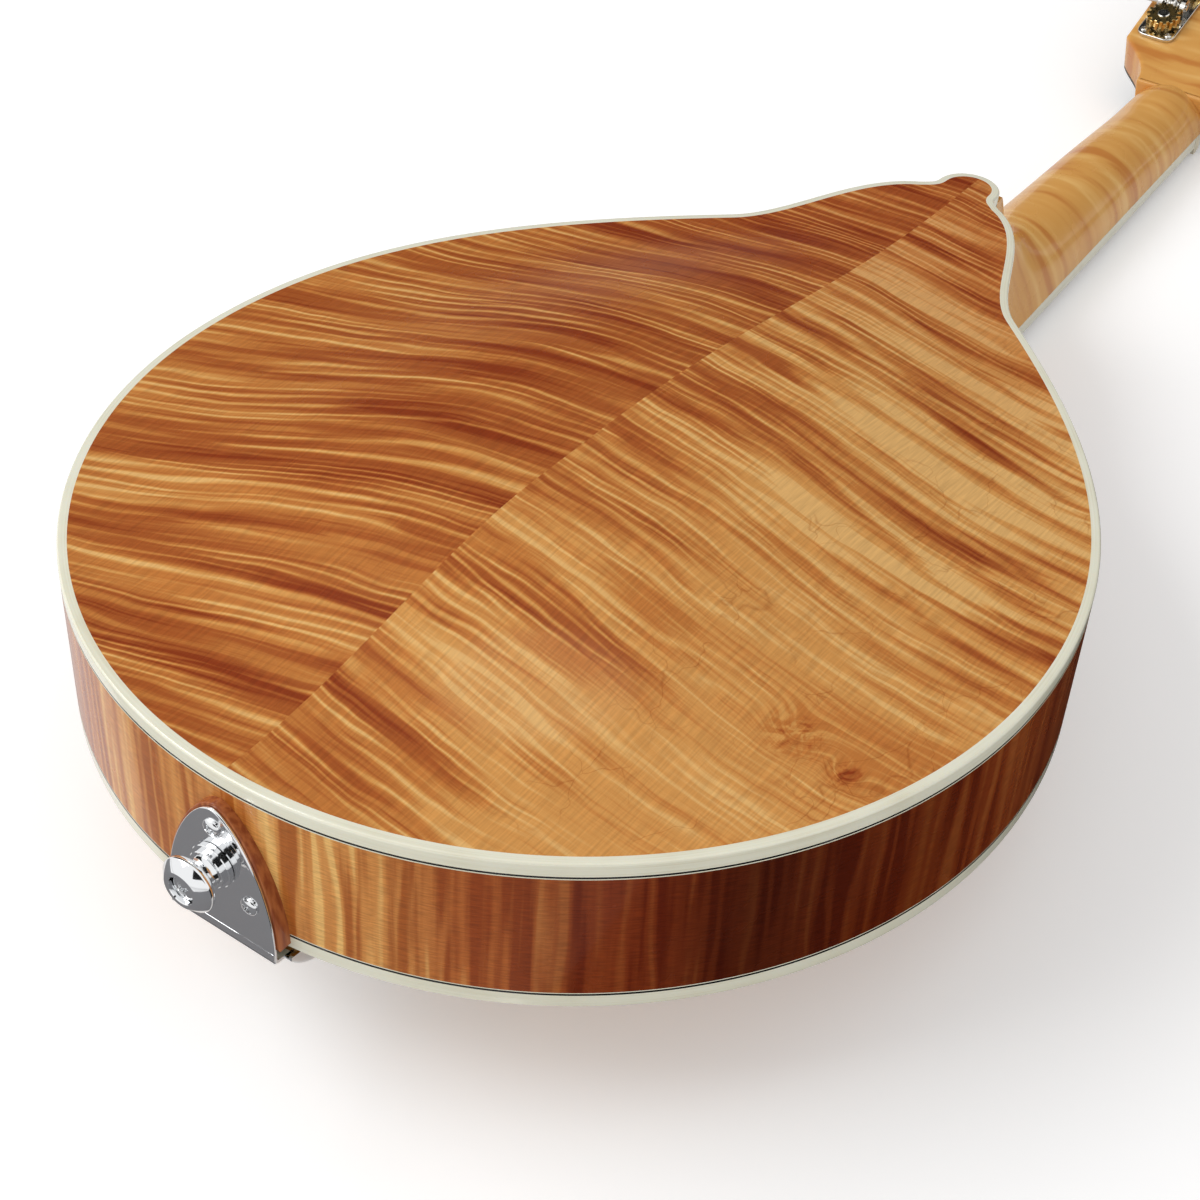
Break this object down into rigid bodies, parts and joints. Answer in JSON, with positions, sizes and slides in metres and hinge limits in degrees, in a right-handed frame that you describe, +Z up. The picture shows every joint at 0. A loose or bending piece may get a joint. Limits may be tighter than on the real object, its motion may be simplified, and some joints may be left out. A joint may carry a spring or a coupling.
{
  "type": "a-style mandolin",
  "caption": "Teardrop arched-top mandolin with oval soundhole, cream binding, movable bridge, tailpiece and open-gear tuning machines, lying strings-down with its back up.",
  "frame": {"origin": "centre of the footprint on the surface it lies on, under the middle of the whole instrument", "axes": "+Y from the tail to the headstock, +X to the bass side, +Z up, away from the back; the strings are underneath"},
  "size_m": [0.254, 0.6746, 0.0935],
  "materials": {
    "flamed_maple": "gloss amber lacquer over flamed maple",
    "neck_maple": "gloss amber lacquer over flamed maple",
    "spruce": "gloss lacquer over spruce",
    "lining_wood": "bare wood",
    "ivoroid_binding": "grained cream celluloid",
    "ebony": "satin, nearly black",
    "shim_mahogany": "stained red-brown",
    "bone": "polished bone",
    "chrome": "polished",
    "string_steel": "plain steel",
    "wound_bronze": "bronze-wound strings",
    "brass_screw": "turned brass",
    "pearloid": "pearl-like plastic"
  },
  "bodies": {
    "instrument": {"back": "flamed_maple", "back_binding": "ivoroid_binding", "back_lining": "lining_wood", "bridge_foot": "ebony", "bridge_post_bass": "string_steel", "bridge_post_treble": "string_steel", "fingerboard": "ebony", "fingerboard_binding": "ivoroid_binding", "headstock_veneer": "ebony", "neck": "neck_maple", "neck_block": "lining_wood", "nut": "bone", "rim": "flamed_maple", "strap_button": "chrome", "strap_button_screw": "chrome", "string_a_1": "string_steel", "string_a_2": "string_steel", "string_d_1": "wound_bronze", "string_d_2": "wound_bronze", "string_e_1": "string_steel", "string_e_2": "string_steel", "string_g_1": "wound_bronze", "string_g_2": "wound_bronze", "tail_block": "lining_wood", "tail_screw_1": "chrome", "tail_screw_2": "chrome", "tail_screw_3": "chrome", "tailpiece_base": "chrome", "tailpiece_shim": "shim_mahogany", "top": "spruce", "top_binding": "ivoroid_binding", "top_brace": "spruce", "top_lining": "lining_wood", "truss_rod": "string_steel", "truss_rod_cover": "ebony", "tuner_plate_bass": "chrome", "tuner_plate_treble": "chrome"},
    "saddle": {"bridge_saddle": "ebony"},
    "wheel_bass": {"thumbwheel_bass": "brass_screw"},
    "wheel_treble": {"thumbwheel_treble": "brass_screw"},
    "cover": {"tailpiece_cover": "chrome"},
    "rod_nut": {"truss_rod_nut": "brass_screw"},
    "knob_bass_1": {"tuner_knob_bass_1": "pearloid"},
    "post_bass_1": {"tuner_post_bass_1": "chrome"},
    "knob_bass_2": {"tuner_knob_bass_2": "pearloid"},
    "post_bass_2": {"tuner_post_bass_2": "chrome"},
    "knob_bass_3": {"tuner_knob_bass_3": "pearloid"},
    "post_bass_3": {"tuner_post_bass_3": "chrome"},
    "knob_bass_4": {"tuner_knob_bass_4": "pearloid"},
    "post_bass_4": {"tuner_post_bass_4": "chrome"},
    "knob_treble_1": {"tuner_knob_treble_1": "pearloid"},
    "post_treble_1": {"tuner_post_treble_1": "chrome"},
    "knob_treble_2": {"tuner_knob_treble_2": "pearloid"},
    "post_treble_2": {"tuner_post_treble_2": "chrome"},
    "knob_treble_3": {"tuner_knob_treble_3": "pearloid"},
    "post_treble_3": {"tuner_post_treble_3": "chrome"},
    "knob_treble_4": {"tuner_knob_treble_4": "pearloid"},
    "post_treble_4": {"tuner_post_treble_4": "chrome"}
  },
  "joints": [
    {"name": "saddle_lift", "type": "slide", "parent": "instrument", "child": "saddle", "axis": [0, -0.064, -0.998], "range_m": [-0.0015, 0.002], "deforming": ["string_a_1", "string_a_2", "string_d_1", "string_d_2", "string_e_1", "string_e_2", "string_g_1", "string_g_2"]},
    {"name": "thumbwheel_bass_turn", "type": "hinge", "parent": "saddle", "child": "wheel_bass", "pos_m": [0.026, -0.16611, 0.00941], "axis": [0, -0.064, -0.998], "range_deg": [-780, 1040]},
    {"name": "thumbwheel_treble_turn", "type": "hinge", "parent": "saddle", "child": "wheel_treble", "pos_m": [-0.026, -0.16611, 0.00941], "axis": [0, -0.064, -0.998], "range_deg": [-780, 1040]},
    {"name": "tailpiece_cover_slide", "type": "slide", "parent": "instrument", "child": "cover", "axis": [0, 0.9832, -0.1824], "range_m": [0, 0.014]},
    {"name": "truss_rod_nut_turn", "type": "hinge", "parent": "instrument", "child": "rod_nut", "pos_m": [0, 0.19278, 0.01436], "axis": [0, 1, -0.0015], "range_deg": [-180, 180]},
    {"name": "knob_bass_1_turn", "type": "hinge", "parent": "instrument", "child": "knob_bass_1", "pos_m": [0.019, 0.22599, 0.03753], "axis": [1, 0, 0], "continuous": true},
    {"name": "post_bass_1_turn", "type": "hinge", "parent": "instrument", "child": "post_bass_1", "pos_m": [0.019, 0.21774, 0.03548], "axis": [0, -0.2404, 0.9707], "continuous": true},
    {"name": "knob_bass_2_turn", "type": "hinge", "parent": "instrument", "child": "knob_bass_2", "pos_m": [0.019, 0.24832, 0.04306], "axis": [1, 0, 0], "continuous": true},
    {"name": "post_bass_2_turn", "type": "hinge", "parent": "instrument", "child": "post_bass_2", "pos_m": [0.019, 0.24007, 0.04101], "axis": [0, -0.2404, 0.9707], "continuous": true},
    {"name": "knob_bass_3_turn", "type": "hinge", "parent": "instrument", "child": "knob_bass_3", "pos_m": [0.019, 0.27064, 0.04859], "axis": [1, 0, 0], "continuous": true},
    {"name": "post_bass_3_turn", "type": "hinge", "parent": "instrument", "child": "post_bass_3", "pos_m": [0.019, 0.26239, 0.04654], "axis": [0, -0.2404, 0.9707], "continuous": true},
    {"name": "knob_bass_4_turn", "type": "hinge", "parent": "instrument", "child": "knob_bass_4", "pos_m": [0.019, 0.29297, 0.05412], "axis": [1, 0, 0], "continuous": true},
    {"name": "post_bass_4_turn", "type": "hinge", "parent": "instrument", "child": "post_bass_4", "pos_m": [0.019, 0.28472, 0.05207], "axis": [0, -0.2404, 0.9707], "continuous": true},
    {"name": "knob_treble_1_turn", "type": "hinge", "parent": "instrument", "child": "knob_treble_1", "pos_m": [-0.019, 0.22599, 0.03753], "axis": [-1, 0, 0], "continuous": true},
    {"name": "post_treble_1_turn", "type": "hinge", "parent": "instrument", "child": "post_treble_1", "pos_m": [-0.019, 0.21774, 0.03548], "axis": [0, -0.2404, 0.9707], "continuous": true},
    {"name": "knob_treble_2_turn", "type": "hinge", "parent": "instrument", "child": "knob_treble_2", "pos_m": [-0.019, 0.24832, 0.04306], "axis": [-1, 0, 0], "continuous": true},
    {"name": "post_treble_2_turn", "type": "hinge", "parent": "instrument", "child": "post_treble_2", "pos_m": [-0.019, 0.24007, 0.04101], "axis": [0, -0.2404, 0.9707], "continuous": true},
    {"name": "knob_treble_3_turn", "type": "hinge", "parent": "instrument", "child": "knob_treble_3", "pos_m": [-0.019, 0.27064, 0.04859], "axis": [-1, 0, 0], "continuous": true},
    {"name": "post_treble_3_turn", "type": "hinge", "parent": "instrument", "child": "post_treble_3", "pos_m": [-0.019, 0.26239, 0.04654], "axis": [0, -0.2404, 0.9707], "continuous": true},
    {"name": "knob_treble_4_turn", "type": "hinge", "parent": "instrument", "child": "knob_treble_4", "pos_m": [-0.019, 0.29297, 0.05412], "axis": [-1, 0, 0], "continuous": true},
    {"name": "post_treble_4_turn", "type": "hinge", "parent": "instrument", "child": "post_treble_4", "pos_m": [-0.019, 0.28472, 0.05207], "axis": [0, -0.2404, 0.9707], "continuous": true}
  ],
  "couplings": [
    {"joint": "thumbwheel_bass_turn", "follows": "saddle_lift", "rad_per_m": 8976},
    {"joint": "thumbwheel_treble_turn", "follows": "saddle_lift", "rad_per_m": 8976},
    {"joint": "post_bass_1_turn", "follows": "knob_bass_1_turn", "ratio": 0.071429},
    {"joint": "post_bass_2_turn", "follows": "knob_bass_2_turn", "ratio": 0.071429},
    {"joint": "post_bass_3_turn", "follows": "knob_bass_3_turn", "ratio": 0.071429},
    {"joint": "post_bass_4_turn", "follows": "knob_bass_4_turn", "ratio": 0.071429},
    {"joint": "post_treble_1_turn", "follows": "knob_treble_1_turn", "ratio": -0.071429},
    {"joint": "post_treble_2_turn", "follows": "knob_treble_2_turn", "ratio": -0.071429},
    {"joint": "post_treble_3_turn", "follows": "knob_treble_3_turn", "ratio": -0.071429},
    {"joint": "post_treble_4_turn", "follows": "knob_treble_4_turn", "ratio": -0.071429}
  ]
}
